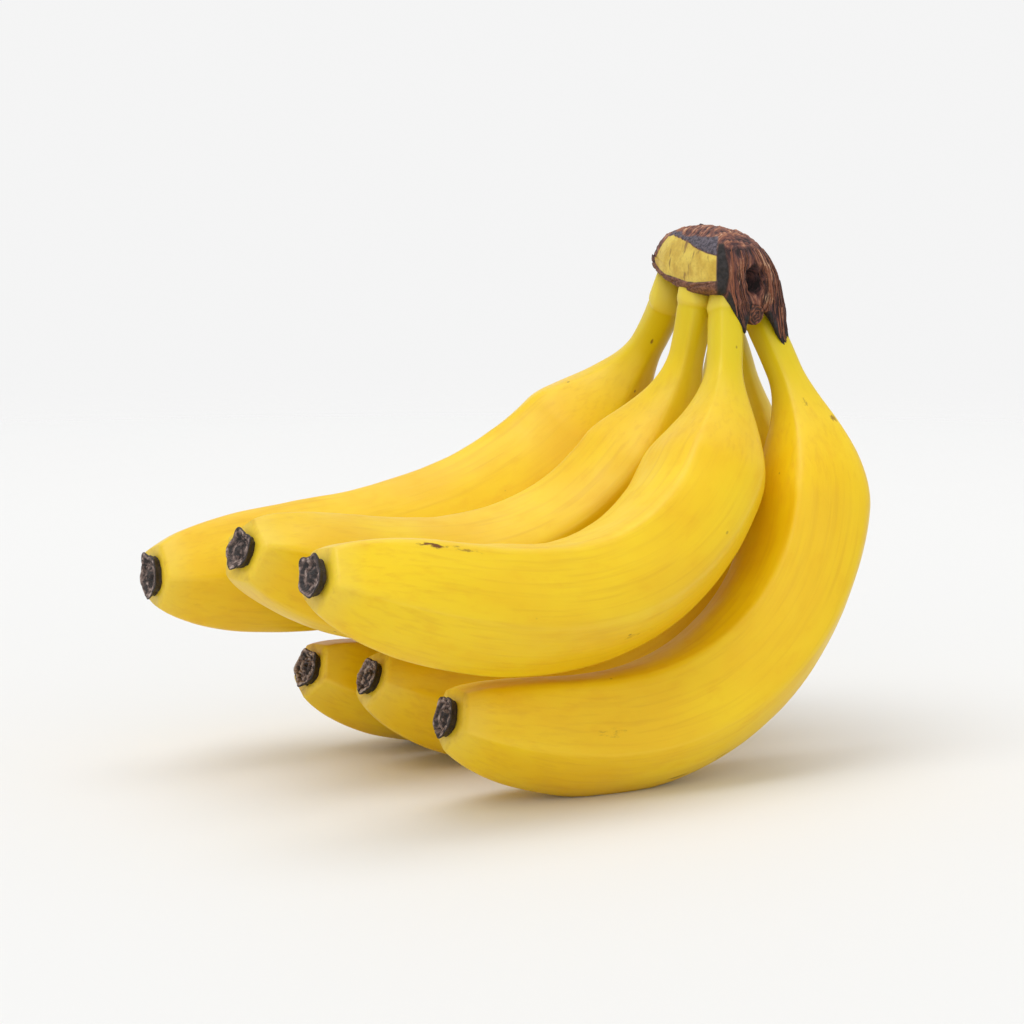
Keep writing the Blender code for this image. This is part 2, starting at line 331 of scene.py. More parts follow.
# Freckles: about one cell in four, 7 mm wide and 11 mm long, holds a dot of about 1 mm.
FRECKLE_CELLS = (145, 145, 90)        # per metre
freckle_place = add_node(tree, "Mapping", {"Vector": straight, "Scale": FRECKLE_CELLS})
freckles = add_node(tree, "TexVoronoi", {"Vector": freckle_place, "Scale": 1.0})
chosen = add_node(tree, "SeparateColor", [freckles.outputs["Color"]])
dot = add_node(tree, "MapRange", [freckles, 0.03, 0.075, 0.75, 0.0], **SMOOTH)
picked = add_node(tree, "MapRange", [chosen.outputs["Red"], 0.74, 0.78], **SMOOTH)
dot = add_node(tree, "Math", [dot, picked], operation="MULTIPLY")
colour = add_node(tree, "Mix", [dot, colour, linear("#7A4C10")], **RGBA)

# Scuffs, by finger: angle round it, place along it, length and width in mm, and depth.
SCUFFS = [
    ("upper_front", 128, 0.848, 20, 0.9, 1.00),
    ("upper_front", 126, 0.800, 9, 0.7, 0.65),
    ("upper_front", 34, 0.55, 22, 1.1, 0.30),
    ("upper_front", 100, 0.16, 5, 0.7, 0.70),
    ("upper_front", 92, 0.21, 4, 0.7, 0.50),
    ("lower_front", 27, 0.62, 9, 1.0, 0.80),
    ("lower_front", 22, 0.68, 14, 1.2, 0.55),
    ("lower_front", 96, 0.80, 12, 1.4, 0.50),
    ("lower_front", 70, 0.17, 3, 1.2, 0.70),
    ("lower_front", 110, 0.14, 5, 0.8, 0.60),
    ("upper_back", 120, 0.062, 2.4, 0.6, 0.80),
    ("upper_back", 110, 0.90, 3, 1.2, 0.75),
    ("upper_middle", 150, 0.93, 5, 1.2, 0.40),
    ("lower_middle", 270, 0.50, 16, 1.6, 0.60),
    ("lower_back", 250, 0.62, 20, 1.3, 0.60),
    ("upper_back", 262, 0.45, 18, 1.2, 0.55),
]
FINGER_SPACING = 1.0      # metres between fingers in the straight pattern space
ragged = grown_pattern(tree, straight, 1.6, stretch=3, detail=4, rough=0.7)
ragged = add_node(tree, "MapRange", [ragged, 0.3, 0.7, -0.5, 0.7], **SMOOTH)
scuffed = 0.0
for name, angle, t, long, wide, depth in SCUFFS:
    reach = peel_radius(FINGERS[name], t) * MM
    middle = (reach * math.cos(math.radians(angle)), reach * math.sin(math.radians(angle)),
              list(FINGERS).index(name) * FINGER_SPACING + t * FINGERS[name]["length"] * MM)
    size = (1 / (wide * MM), 1 / (wide * MM), 2 / (long * MM))
    offset = add_node(tree, "VectorMath", [straight, middle], operation="SUBTRACT")
    offset = add_node(tree, "VectorMath", [offset, size], operation="MULTIPLY")
    away = add_node(tree, "VectorMath", [offset], operation="LENGTH").outputs["Value"]
    torn = add_node(tree, "Math", [away, ragged], operation="ADD")
    scuff = add_node(tree, "MapRange", [torn, 0.3, 1.0, depth, 0.0], **SMOOTH)
    scuffed = add_node(tree, "Math", [scuffed, scuff], operation="MAXIMUM")
colour = add_node(tree, "Mix", [scuffed, colour, linear("#6E4010")], **RGBA)

gloss = add_node(tree, "MapRange", [mottle, 0.3, 0.7, 0.38, 0.48], **SMOOTH)
gloss = add_node(tree, "Math", [scuffed, 0.3, gloss], operation="MULTIPLY_ADD")
pores = grown_pattern(tree, straight, 0.7, stretch=1.5, detail=2)
relief = add_node(tree, "Bump", {"Height": pores, "Strength": 0.10, "Distance": 0.2 * MM})
relief = add_node(tree, "Bump", {
    "Height": fibres, "Strength": 0.22, "Distance": 0.3 * MM, "Normal": relief})
relief = add_node(tree, "Bump", {
    "Height": scuffed, "Strength": 0.25, "Distance": -0.2 * MM, "Normal": relief})
feed(tree, skin, {"Base Color": colour, "Roughness": gloss, "Normal": relief, "IOR": 1.45,
                  "Subsurface Weight": 0.08, "Subsurface Radius": (1.0, 0.5, 0.05),
                  "Subsurface Scale": 2.0 * MM})


def peel_ring(finger, number, matrix, radius, t):
    """One ring of the skin: five ridges, and dents and swellings of under half a mm."""
    share = blend(RIDGE_NECK, RIDGE_BODY, ease(t / SHOULDER[1]))
    share = blend(share, RIDGE_TIP, ease((t - RIDGE_TIP_START) / 0.14))
    soft = RIDGE_SOFT * blend(NECK_SOFTER, 1.0, ease(t / SHOULDER[1]))
    turn = math.radians(finger["turn"] + RIDGE_TWIST * math.sin(4 * t + number))

    def place(vert, angle):
        c, s = math.cos(angle), math.sin(angle)
        rest = Vector((radius * c, radius * s, t * finger["length"] + SWELLS_APART * number))
        strong = share * (1 + 0.5 * noise.noise(rest / 30))
        reach = radius * (1 + RIDGE_PROUD * strong) * pentagon(angle - turn, strong, soft)
        swell = sum(height * noise.noise(rest / size) for height, size in SWELLS)
        reach += swell * ease(t / 0.2) * ease((1 - t) / 0.05)
        vert.co = matrix @ Vector((reach * c, reach * s, 0)) * MM
        vert[vert_layers["along"]] = t
        # how near the top of a ridge this point is: the mask of the painted highlight along the ridges
        below = 1 - pentagon(angle - turn, 1.0, EDGE_SOFT)
        vert[vert_layers["edge"]] = max(0.0, 1 - below * EDGE_SHARP)
        vert[vert_layers["straight"]] = Vector((
            reach * c * MM, reach * s * MM, number * FINGER_SPACING + t * finger["length"] * MM))
    return place


def centre_on(bm, node):
    """Move a mesh level, so that its middle is the middle of the CAD node's box."""
    low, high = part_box(node)
    xs = [vert.co.x for vert in bm.verts]
    ys = [vert.co.y for vert in bm.verts]
    own = Vector((min(xs) + max(xs), min(ys) + max(ys), 0)) / 2
    shift = Vector(((low.x + high.x) / 2 - own.x, (low.y + high.y) / 2 - own.y, 0))
    bmesh.ops.translate(bm, vec=shift, verts=bm.verts)
    return shift


shifts = {}
for number, (name, finger) in enumerate(FINGERS.items()):
    finger["resting"] = name.startswith("lower")
    stations = centreline(finger)
    bm = bmesh.new()
    vert_layers = {"along": bm.verts.layers.float.new("along"),
                   "edge": bm.verts.layers.float.new("edge"),
                   "straight": bm.verts.layers.float_vector.new("straight")}
    tangent, side = direction(finger, 0.0)
    root = ring_matrix(Vector(finger["root"]) + Vector((0, 0, ROOT_RAISED)), tangent, side)
    rings = [peel_ring(finger, number, root, ROOT_RADIUS, 0.0)]
    end = 1 - END_THICK / finger["length"]
    for step in range(PEEL_RINGS + 1):
        t = end * step / PEEL_RINGS
        point, tangent = station_at(stations, t)
        matrix = ring_matrix(point, tangent, side)
        radius = peel_radius(finger, t) + collar(finger, t)
        rings.append(peel_ring(finger, number, matrix, radius, t))
    rings.append(peel_ring(finger, number, matrix, 0.9 * TIP_RADIUS, end))
    rings.append(peel_ring(finger, number, matrix, 0.4 * TIP_RADIUS, end))
    grow(bm, PEEL_SIDES, rings)
    shifts[name] = centre_on(bm, name + "_banana")
    for vert in bm.verts:
        vert.co.z = max(vert.co.z, 0.0)
    finished(bm, name + "_peel", peel, name + "_banana")

# --------------------------------------------------------------------------------------
# The blossom ends: what is left of the flower on each tip, dried to a hard black-brown
# button. It has blunt corners where the ridges end, two of them standing out above, a
# thin paler rim, and a wrinkled, pitted middle.
# --------------------------------------------------------------------------------------
BLOSSOM_SIDES = 140
BLOSSOM_RADIUS = 5.2
BLOSSOM_SUNK = 0.5        # how far the button is set into the tip

# From one flower end to the next: width and height against the common radius, how far
# the upper corners stick out (mm), how wrinkled the middle is, and how far out it sits.
BLOSSOMS = {
    "upper_back": dict(wide=0.98, tall=1.12, left=1.0, right=0.5, wrinkles=0.9, out=0.2),
    "upper_middle": dict(wide=0.88, tall=0.97, left=1.3, right=0.9, wrinkles=0.9, out=0.4),
    "upper_front": dict(wide=0.90, tall=0.98, left=1.3, right=0.9, wrinkles=0.8, out=1.3),
    "lower_back": dict(wide=0.98, tall=0.98, left=0.5, right=0.6, wrinkles=1.3, out=0.2),
    "lower_middle": dict(wide=0.90, tall=0.92, left=0.6, right=0.7, wrinkles=1.3, out=0.3),
    "lower_front": dict(wide=0.76, tall=1.0, left=0.6, right=0.6, wrinkles=1.0, out=0.8),
}
# Rings of a button from its foot to its middle: share of the radius, rise in mm and
# share of the wrinkles. Inside the rim it dips by 0.9 mm and swells up again by 1.2.
BLOSSOM_RINGS = [
    (0.55, 0.0, 0.0), (0.90, 0.0, 0.0), (0.95, 0.4, 0.0), (0.93, 0.9, 0.1), (0.95, 1.4, 0.1),
    (0.99, 1.9, 0.1), (1.02, 2.2, 0.1), (1.02, 2.4, 0.1), (0.99, 2.5, 0.15), (0.95, 2.5, 0.3),
    (0.91, 2.4, 0.5)]
BLOSSOM_RINGS += [
    (0.88 - 0.029 * step, 2.2 - 0.9 * ease(step / 9) + 1.2 * ease((step - 12) / 17), 0.9)
    for step in range(30)]
# Blunt corners: height against the common one, angle round the button and width, in
# degrees. The two that stand out above have heights of their own for each finger.
LEFT_CORNER = (218, 19)
RIGHT_CORNER = (146, 18)
OTHER_CORNERS = [(0.4, 0, 18), (0.2, 72, 20), (0.2, 288, 20)]

# Dried flower tissue: brittle and cracked, near black in the folds, with grey-brown
# dust on every crest, and just enough gloss to catch the light.
blossom = bpy.data.materials.new("dried_blossom")
blossom.use_nodes = True
tree = blossom.node_tree
skin = tree.nodes["Principled BSDF"]
place = add_node(tree, "TexCoord").outputs["Object"]
crest = add_node(tree, "Attribute", attribute_name="crest").outputs["Fac"]
crumbs = grown_pattern(tree, place, 0.8, detail=5, rough=0.7)
dust = grown_pattern(tree, place, 1.6, detail=4, rough=0.6)
share = add_node(tree, "MapRange", [crumbs, 0.35, 0.7], **SMOOTH)
colour = add_node(tree, "Mix", [share, linear("#120C0B"), linear("#33241F")], **RGBA)
uneven = add_node(tree, "MapRange", [dust, 0.3, 0.7, -0.22, 0.22], **SMOOTH)
proud = add_node(tree, "Math", [crest, uneven], operation="ADD")
share = add_node(tree, "MapRange", [proud, 0.38, 0.72, 0.0, 0.85], **SMOOTH)
colour = add_node(tree, "Mix", [share, colour, linear("#7C665D")], **RGBA)
share = add_node(tree, "MapRange", [proud, 0.66, 0.95, 0.0, 0.85], **SMOOTH)
colour = add_node(tree, "Mix", [share, colour, linear("#BCA99E")], **RGBA)
relief = add_node(tree, "Bump", {"Height": crumbs, "Strength": 0.7, "Distance": 0.3 * MM})
feed(tree, skin, {"Base Color": colour, "Normal": relief, "Roughness": 0.55, "IOR": 1.5})


def corner_at(angle, degrees, width):
    off = (math.degrees(angle) - degrees + 180) % 360 - 180
    return math.exp(-(off / width) ** 2)


def blossom_ring(look, number, matrix, reach, rise, wrinkled):
    def place(vert, angle):
        c, s = math.cos(angle), math.sin(angle)
        outer = ease((reach - 0.75) / 0.25)
        upper = ease((rise - 0.7) / 1.5)
        corners = look["left"] * corner_at(angle, *LEFT_CORNER)
        corners += look["right"] * corner_at(angle, *RIGHT_CORNER)
        corners += sum(high * corner_at(angle, *spread) for high, *spread in OTHER_CORNERS)
        spot = Vector((c * reach * 2.4, s * reach * 2.4, number * 7.0))
        warp = noise.noise(spot * 0.9)
        folds = 1 - 2.2 * abs(noise.noise(spot * 1.5 + Vector((warp, 0, 0))))
        whorl = 1 - 2 * abs(math.sin(reach * 11 + 1.6 * warp + 0.5 * s))
        fine = 1 - 2.2 * abs(noise.noise(spot * 3.3))
        wrinkle = look["wrinkles"] * (0.42 * folds + 0.25 * whorl + 0.2 * fine)
        side_fold = noise.noise(Vector((c * 3.4, s * 3.4, rise * 0.5 + number * 3.1)))
        corner = corners * outer * upper
        radius = BLOSSOM_RADIUS * reach * (1 + 0.03 * math.cos(RIDGES * angle)) + corner
        radius += (0.35 * side_fold + 0.12 * wrinkle) * ease(reach / 0.5)
        up = rise + look["out"] - BLOSSOM_SUNK + 0.3 * corner + 0.95 * wrinkled * wrinkle
        vert.co = matrix @ Vector((radius * c * look["tall"], radius * s * look["wide"], up)) * MM
        rim = math.exp(-((reach - 0.93) / 0.05) ** 2) * ease((rise - 2.25) / 0.2)
        middle = ease((0.5 - reach) / 0.3)
        vert[vert_layers["crest"]] = (0.65 * rim * (1 - 0.6 * corners)
                                      + 0.45 * side_fold * (1 - wrinkled)
                                      + wrinkled * (0.46 + 0.65 * wrinkle - 0.25 * middle))
    return place


for number, (name, finger) in enumerate(FINGERS.items()):
    point, tangent = station_at(centreline(finger), 1.0)
    side = direction(finger, 1.0)[1]
    matrix = ring_matrix(point - END_THICK * tangent, tangent, side)
    bm = bmesh.new()
    vert_layers = {"crest": bm.verts.layers.float.new("crest")}
    look = BLOSSOMS[name]
    grow(bm, BLOSSOM_SIDES, [blossom_ring(look, number, matrix, *row) for row in BLOSSOM_RINGS])
    bmesh.ops.translate(bm, vec=shifts[name], verts=bm.verts)
    finished(bm, name + "_dried_blossom", blossom, name + "_blossom_end")

# --------------------------------------------------------------------------------------
# The crown: the block of stalk that joins the six necks. One side is cut clean and
# shows pale flesh over a brown rim. The front is torn and dried to brown fibres round a
# deep hollow, and hangs down in two pointed flaps with black edges.
# --------------------------------------------------------------------------------------
CROWN_SIDES = 400
CROWN_MIDDLE_Y = -1
CROWN_SQUARENESS = 5.0
CROWN_SKEW = 0.17                   # how the block leans to +X towards its back,
CROWN_FLARE = 0.06                  # and how much more its right end does
CROWN_BACK_TRIM = 1.2               # how far the cut side is drawn in at the back
CURL_TOP = 142.8                    # height under which the cut side's foot curls up
CURL_START = -8                     # y from which it does
CURL = 0.068                        # and how strongly
LEFT_FLAP = (66.2, 4.4, 3.6, 9.8)   # x of the tip, width to its left and right, length
RIGHT_FLAP = (83.5, 6.6, 2.4, 13.6)
RIGHT_RAISED = 1.8                  # how far the front right lower edge is drawn up
HOLLOW = (70.9, 136.6)              # middle of the hollow on the front face: x, z
HOLLOW_HALF = (3.7, 4.4)            # half width and half height
HOLLOW_DEEP = 7.0
HOLLOW_LEAN = 0.10
NUB = (73.6, 4.5, 1.1)              # a stump of leaf on the top: x, y and height
TORN_LEFT, TORN_TOP = 60.8, 146.6   # left and upper edge of the torn fibres
BAND_RIGHT, BAND_TOP = 61.4, 147.6  # the same of the black band beside the cut
ASH_TOP = 148.9                     # upper edge of the grey bloom above the cut
# Levels of the block, from under it to its top: the left and right ends, the half
# depth, the height, how the level falls to +X, and the share and lean of the flaps.
CROWN_LEVELS = [
    (69, 83, 8, 131.0, 0.34, 0.0, 0.0),
    (63, 89, 16, 132.0, 0.34, 0.10, 0.0),
    (60, 91, 19, 133.4, 0.34, 1.0, 0.22),
    (59.2, 91.3, 19.5, 136.5, 0.33, 0.6, 0.16),
    (59.4, 88.5, 19.5, 142.8, 0.26, 0.0, 0.0),
    (61.8, 83.5, 17.4, 148.4, 0.23, 0.0, 0.0),
    (65.5, 79, 12.0, 151.3, 0.20, 0.0, 0.0),
    (70, 75, 4, 151.7, 0.18, 0.0, 0.0),
    (72, 73, 0.6, 151.7, 0.18, 0.0, 0.0),
]
CROWN_RINGS = [6, 8, 18, 34, 30, 22, 9, 2]      # from each level to the next
# The edges of the cut side: y and height
CUT_TOP = [(-22, 143.4), (-17, 143.9), (-11, 145.2), (-5, 146.8), (1, 148.3), (7, 148.9), (10, 146.5),
           (13, 141.0)]
CUT_BOTTOM = [(-22, 136.8), (-14, 136.3), (-8, 135.9), (-1, 136.8), (6, 138.0), (13, 141.0)]


def through(points, x):
    """A smooth curve through (x, value) points."""
    last = len(points) - 2
    i = min(max(bisect.bisect_right([point[0] for point in points], x) - 1, 0), last)
    (x0, v0), (x1, v1) = points[i], points[i + 1]
    before, after = points[max(i - 1, 0)], points[min(i + 2, last + 1)]
    step = x1 - x0
    p = min(max((x - x0) / step, 0.0), 1.0)
    m0 = (v1 - before[1]) / (x1 - before[0]) * step
    m1 = (after[1] - v0) / (after[0] - x0) * step
    return ((2 * p ** 3 - 3 * p ** 2 + 1) * v0 + (p ** 3 - 2 * p ** 2 + p) * m0
            + (3 * p ** 2 - 2 * p ** 3) * v1 + (p ** 3 - p ** 2) * m1)


def between(value, low, high, soft):
    return ease((value - low) / soft + 0.5) * ease((high - value) / soft + 0.5)


def flap_drop(x):
    """How far the pointed flaps hang down at x, with a ragged edge."""
    drop = 0.0
    for tip, left, right, length in (LEFT_FLAP, RIGHT_FLAP):
        share = 1 - abs(x - tip) / (left if x < tip else right)
        drop = max(drop, length * max(0.0, share) ** 0.8)
    return max(0.0, drop + 0.4 * noise.noise(Vector((x / 1.2, 3, 0))))


def from_hollow(x, z):
    """A point of the front measured from the hollow: 1 on the hollow's edge."""
    lean = HOLLOW_LEAN * (HOLLOW[1] - z)
    return (x - HOLLOW[0] - lean) / HOLLOW_HALF[0], (z - HOLLOW[1]) / HOLLOW_HALF[1]


def stream(x, z):
    """The fibres part round the hollow like water round a stone; this names a fibre."""
    u, v = from_hollow(x, z)
    return u * (1 - 0.85 / (max(u * u + v * v, 0.3) + 0.15)) * HOLLOW_HALF[0]


def crown_ring(left, right, half_y, height, fall, flaps, lean_out):
    middle_x, half_x = (left + right) / 2, (right - left) / 2

    def place(vert, angle):
        c, s = math.cos(angle), math.sin(angle)
        reach = (abs(c) ** CROWN_SQUARENESS + abs(s) ** CROWN_SQUARENESS) ** (-1 / CROWN_SQUARENESS)
        u, w = reach * c, reach * s
        y = half_y * w
        x = middle_x + half_x * u + (CROWN_SKEW + CROWN_FLARE * c) * y
        x += CROWN_BACK_TRIM * ease(-u) * ease((w - 0.3) / 0.5)
        y += CROWN_MIDDLE_Y
        front = ease((-w - 0.78) / 0.16)
        leftness = ease((-u - 0.80) / 0.14)
        drop = flaps * front * flap_drop(x)
        z = height - fall * (x - left) - drop
        if height < CURL_TOP:
            back = max(0.0, y - CURL_START) ** 1.5
            z += CURL * back * ease(-u) * ease((CURL_TOP - height) / 6)
        z += RIGHT_RAISED * ease((x - 76) / 9) * ease(0.2 - w) * ease((140 - height) / 5)
        y -= lean_out * drop
        wobble = 0.4 * noise.noise(Vector((y / 3.5, z / 3.5, x / 3.5)))

        # the cut side: flat flesh, over a rim that stands proud in fine folds
        top = through(CUT_TOP, y) + 0.6 * wobble
        bottom = through(CUT_BOTTOM, y) + 0.5 * wobble
        side = ease((leftness - 0.42) / 0.16)
        cut = side * between(z, bottom, top, 0.5) * ease((top - bottom) / 0.8)
        rim = side * ease((bottom - z) / 0.4) * ease((height - 131.5) / 1.5)
        fold = max(0.0, math.sin(2.6 * z + 0.35 * y + 3 * wobble)) ** 3
        x -= 0.7 * rim - 0.45 * rim * fold + 0.2 * leftness * between(z, top, 149.5, 1.0)

        # the torn front: fibres, a roll of them on each side of the hollow, and the hollow
        hu, hv = from_hollow(x, z)
        far = math.hypot(hu, hv) * (1 + 0.3 * noise.noise(Vector((x / 1.6, z / 2.2, 4.0))))
        torn = front * ease((x - TORN_LEFT - wobble) / 0.9)
        torn *= ease((TORN_TOP + 2 * wobble - z) / 1.2)
        fibre = stream(x, z)
        strand = noise.noise(Vector((fibre / 0.8, z / 7.0, 1.5)))
        fine = noise.noise(Vector((fibre / 0.42, z / 4.0, 7.5)))
        roll = math.exp(-((far - 1.6) / 0.5) ** 2)
        sink = HOLLOW_DEEP * max(0.0, 1 - far ** 1.7)
        y += torn * (sink - 0.9 * roll - 0.5 * strand - 0.25 * fine)

        # the rest: dried skin, shrunk into folds, and a stump of leaf on the top
        bark = (1 - torn) * (1 - cut) * (1 - rim)
        folds = noise.noise(Vector((x / 3.2, y / 1.2 + 1.5 * wobble, z / 1.8)))
        grains = noise.noise(Vector((x / 0.9, y / 0.8, z / 0.9)))
        over = ease((height - 146.5) / 2)
        wall = ease((height - 132.5) / 1.5) * (1 - over)
        out = Vector((u * (1 - front), w * (1 - leftness), 0.1))
        spot = Vector((x, y, z)) + out * bark * wall * (0.35 * folds + 0.18 * grains)
        stump = math.exp(-((x - NUB[0]) ** 2 + (y - NUB[1]) ** 2) / 2.5)
        spot.z += over * (0.35 * folds + 0.35 * grains + NUB[2] * stump)
        vert.co = spot * MM

        lip = ease((drop - 0.2) / 0.4) * ease((135.9 - height) / 1.0)
        band = (1 - side) * ease((-w - 0.5) / 0.1) * ease((BAND_TOP - z) / 0.8)
        band *= ease((BAND_RIGHT + 1.6 * wobble - x) / 0.7 + 0.5)
        right_edge = ease((u - 0.83 + 0.1 * wobble) / 0.08) * (1 - over)
        right_edge *= ease((0.3 * grains - w) / 1.2)
        tips = torn * ease((drop - 6.5 + 3 * wobble) / 1.8)
        # tone: paler on the rolls beside the hollow, darker towards the bottom and the top, and darker
        # towards the hollow as painted shade
        tone = (0.50 + 0.50 * roll * ease(hu / 0.8) + 0.12 * roll * ease(-hu / 0.8)
                - 0.35 * ease((1.25 - far) / 0.5) - 0.30 * ease((129.5 - z) / 4)
                - 0.20 * ease((z - 143) / 3) + 0.7 * wobble)
        ash = side * (1 - cut) * ease((z - top) / 0.4) * ease((10 - y) / 3)
        ash *= between(z, top, max(ASH_TOP, top + 1.3) + wobble, 0.6)
        skin_tone = 0.40 + 0.35 * folds + 0.25 * grains + over * (0.2 - 1.2 * stump)
        # painted shade: the torn front goes near black down in the hollow
        hollow_shade = 0.6 * torn * ease((0.85 - far) / 0.5)
        values = {
            "cut": cut, "rim": rim, "torn": torn, "ash": ash,
            "fibre": blend(y, fibre, torn),
            "black_edges_and_hollow_shade": max(lip, band, right_edge, tips, hollow_shade),
            "tone": blend(skin_tone, tone, torn),
            "proud": blend(0.5 * folds + 0.3 * grains, 0.6 * strand + 0.45 * fine, torn),
        }
        for name, value in values.items():
            vert[vert_layers[name]] = value
    return place


# Dried stalk: the skin has gone leathery and black-brown, the torn fibres red-brown to
# tan, with a grey bloom by the cut. The flesh of the cut is pale, with brown vessels.
crown_skin = bpy.data.materials.new("dried_stalk")
crown_skin.use_nodes = True
tree = crown_skin.node_tree
skin = tree.nodes["Principled BSDF"]
MASKS = ("cut", "rim", "torn", "black_edges_and_hollow_shade", "ash", "fibre", "tone", "proud")
mask = {name: add_node(tree, "Attribute", attribute_name=name).outputs["Fac"] for name in MASKS}
place = add_node(tree, "TexCoord").outputs["Object"]
THREADS_ACROSS = 2.3      # per mm of "fibre"
THREADS_DOWN, THREADS_OVER = 150.0, 110.0       # per metre of height and of X
across = add_node(tree, "Math", [mask["fibre"], THREADS_ACROSS], operation="MULTIPLY")
where = add_node(tree, "SeparateXYZ", [place])
down = add_node(tree, "Math", [where.outputs["Z"], THREADS_DOWN], operation="MULTIPLY")
over = add_node(tree, "Math", [where.outputs["X"], THREADS_OVER], operation="MULTIPLY")
threads = add_node(tree, "CombineXYZ", [across, down, over])
threads = add_node(tree, "TexNoise", {"Vector": threads, "Scale": 1.0, "Detail": 5.0, "Roughness": 0.7})
grain = grown_pattern(tree, place, 0.9, detail=5, rough=0.7)
clouds = grown_pattern(tree, place, 5)

# Five tones of dried fibre, from near black to tan, paler on raised strands and darker between them;
# the dark round the hollow is painted shade.
raised = add_node(tree, "Math", [mask["proud"], 0.35, mask["tone"]], operation="MULTIPLY_ADD")
uneven = add_node(tree, "MapRange", [threads, 0.30, 0.70, -0.45, 0.45])
raised = add_node(tree, "Math", [raised, uneven], operation="ADD")
colour = linear("#1D0F0D")
for start, end, tint in [(0.10, 0.30, "#45292A"), (0.32, 0.58, "#74463A"), (0.62, 0.85, "#A26C50"),
                         (0.90, 1.15, "#C8A080")]:
    share = add_node(tree, "MapRange", [raised, start, end], **SMOOTH)
    colour = add_node(tree, "Mix", [share, colour, linear(tint)], **RGBA)
share = add_node(tree, "MapRange", [grain, 0.35, 0.65], **SMOOTH)
ash = add_node(tree, "Mix", [share, linear("#35303A"), linear("#6A626C")], **RGBA)
colour = add_node(tree, "Mix", [mask["ash"], colour, ash], **RGBA)
bark = add_node(tree, "Mix", [share, linear("#4A281F"), linear("#8A5E48")], **RGBA)
colour = add_node(tree, "Mix", [mask["rim"], colour, bark], **RGBA)
# near black on the flaps' edges and tips, the band beside the cut and the right end, and as painted
# shade down in the hollow
black_edges_and_hollow_shade = add_node(tree, "Mix", [share, linear("#0E0B0B"), linear("#2B2626")], **RGBA)
colour = add_node(tree, "Mix", [mask["black_edges_and_hollow_shade"], colour, black_edges_and_hollow_shade], **RGBA)

# The flesh, with vessels as short brown strokes and a brown dried line round its edge.
VESSELS = (400, 520, 150)             # strokes per metre, long ones up and down
strokes = add_node(tree, "Mapping", {"Vector": place, "Scale": VESSELS})
strokes = add_node(tree, "TexNoise", {"Vector": strokes, "Scale": 1.0, "Detail": 2.0})
share = add_node(tree, "MapRange", [clouds, 0.35, 0.65], **SMOOTH)
flesh = add_node(tree, "Mix", [share, linear("#C9A73A"), linear("#E0C654")], **RGBA)
share = add_node(tree, "MapRange", [grain, 0.45, 0.75, 0.0, 0.5], **SMOOTH)
flesh = add_node(tree, "Mix", [share, flesh, linear("#A88A38")], **RGBA)
share = add_node(tree, "MapRange", [strokes, 0.60, 0.72, 0.0, 0.85], **SMOOTH)
flesh = add_node(tree, "Mix", [share, flesh, linear("#7C5A28")], **RGBA)
share = add_node(tree, "MapRange", [mask["cut"], 0.60, 0.98, 0.85, 0.0], **SMOOTH)
flesh = add_node(tree, "Mix", [share, flesh, linear("#6A5240")], **RGBA)
share = add_node(tree, "MapRange", [mask["cut"], 0.3, 0.6], **SMOOTH)
colour = add_node(tree, "Mix", [share, colour, flesh], **RGBA)
dull = add_node(tree, "MapRange", [mask["cut"], 0.0, 1.0, 0.75, 0.5])
relief = add_node(tree, "Bump", {"Height": grain, "Strength": 0.5, "Distance": 0.3 * MM})
rough_fibre = add_node(tree, "Math", [threads, mask["torn"]], operation="MULTIPLY")
relief = add_node(tree, "Bump", {
    "Height": rough_fibre, "Strength": 0.9, "Distance": 0.6 * MM, "Normal": relief})
feed(tree, skin, {"Base Color": colour, "Roughness": dull, "Normal": relief, "IOR": 1.5})

bm = bmesh.new()
vert_layers = {name: bm.verts.layers.float.new(name) for name in MASKS}
levels = [(number, np.array(level, float)) for number, level in enumerate(CROWN_LEVELS)]
rings = [crown_ring(*CROWN_LEVELS[0])]
for number, count in enumerate(CROWN_RINGS):
    for step in range(1, count + 1):
        rings.append(crown_ring(*[float(v) for v in through(levels, number + step / count)]))
grow(bm, CROWN_SIDES, rings)
crown_surface = BVHTree.FromBMesh(bm)
crown_shift = shifts["upper_front"]
bmesh.ops.translate(bm, vec=crown_shift, verts=bm.verts)
finished(bm, "crown_stalk", crown_skin, "crown")

# --------------------------------------------------------------------------------------
# Loose fibres of the torn front: threads of the stalk that lifted as it tore, each a
# stiff tapered hair that lies along its neighbours and bows round the hollow.
# --------------------------------------------------------------------------------------
FIBRE_COUNT = 190
FIBRE_SIDES = 5
FIBRE_STEPS = 8
FIBRE_RADIUS = (0.10, 0.24)
FIBRE_LONG = (4.0, 11.0)
FIBRE_START = ((62.0, 84.0), (124.0, 146.5))      # ranges of x and z at the upper end
FIBRE_TONE = (-0.1, 0.75)
FIBRE_LIFT = (0.0, 0.7)                           # root of how far the lower end lifts off
HOLLOW_CLEAR = 1.05                               # no fibre starts nearer the hollow
FRONT_FREE = -45                                  # y of a point clear in front of the crown

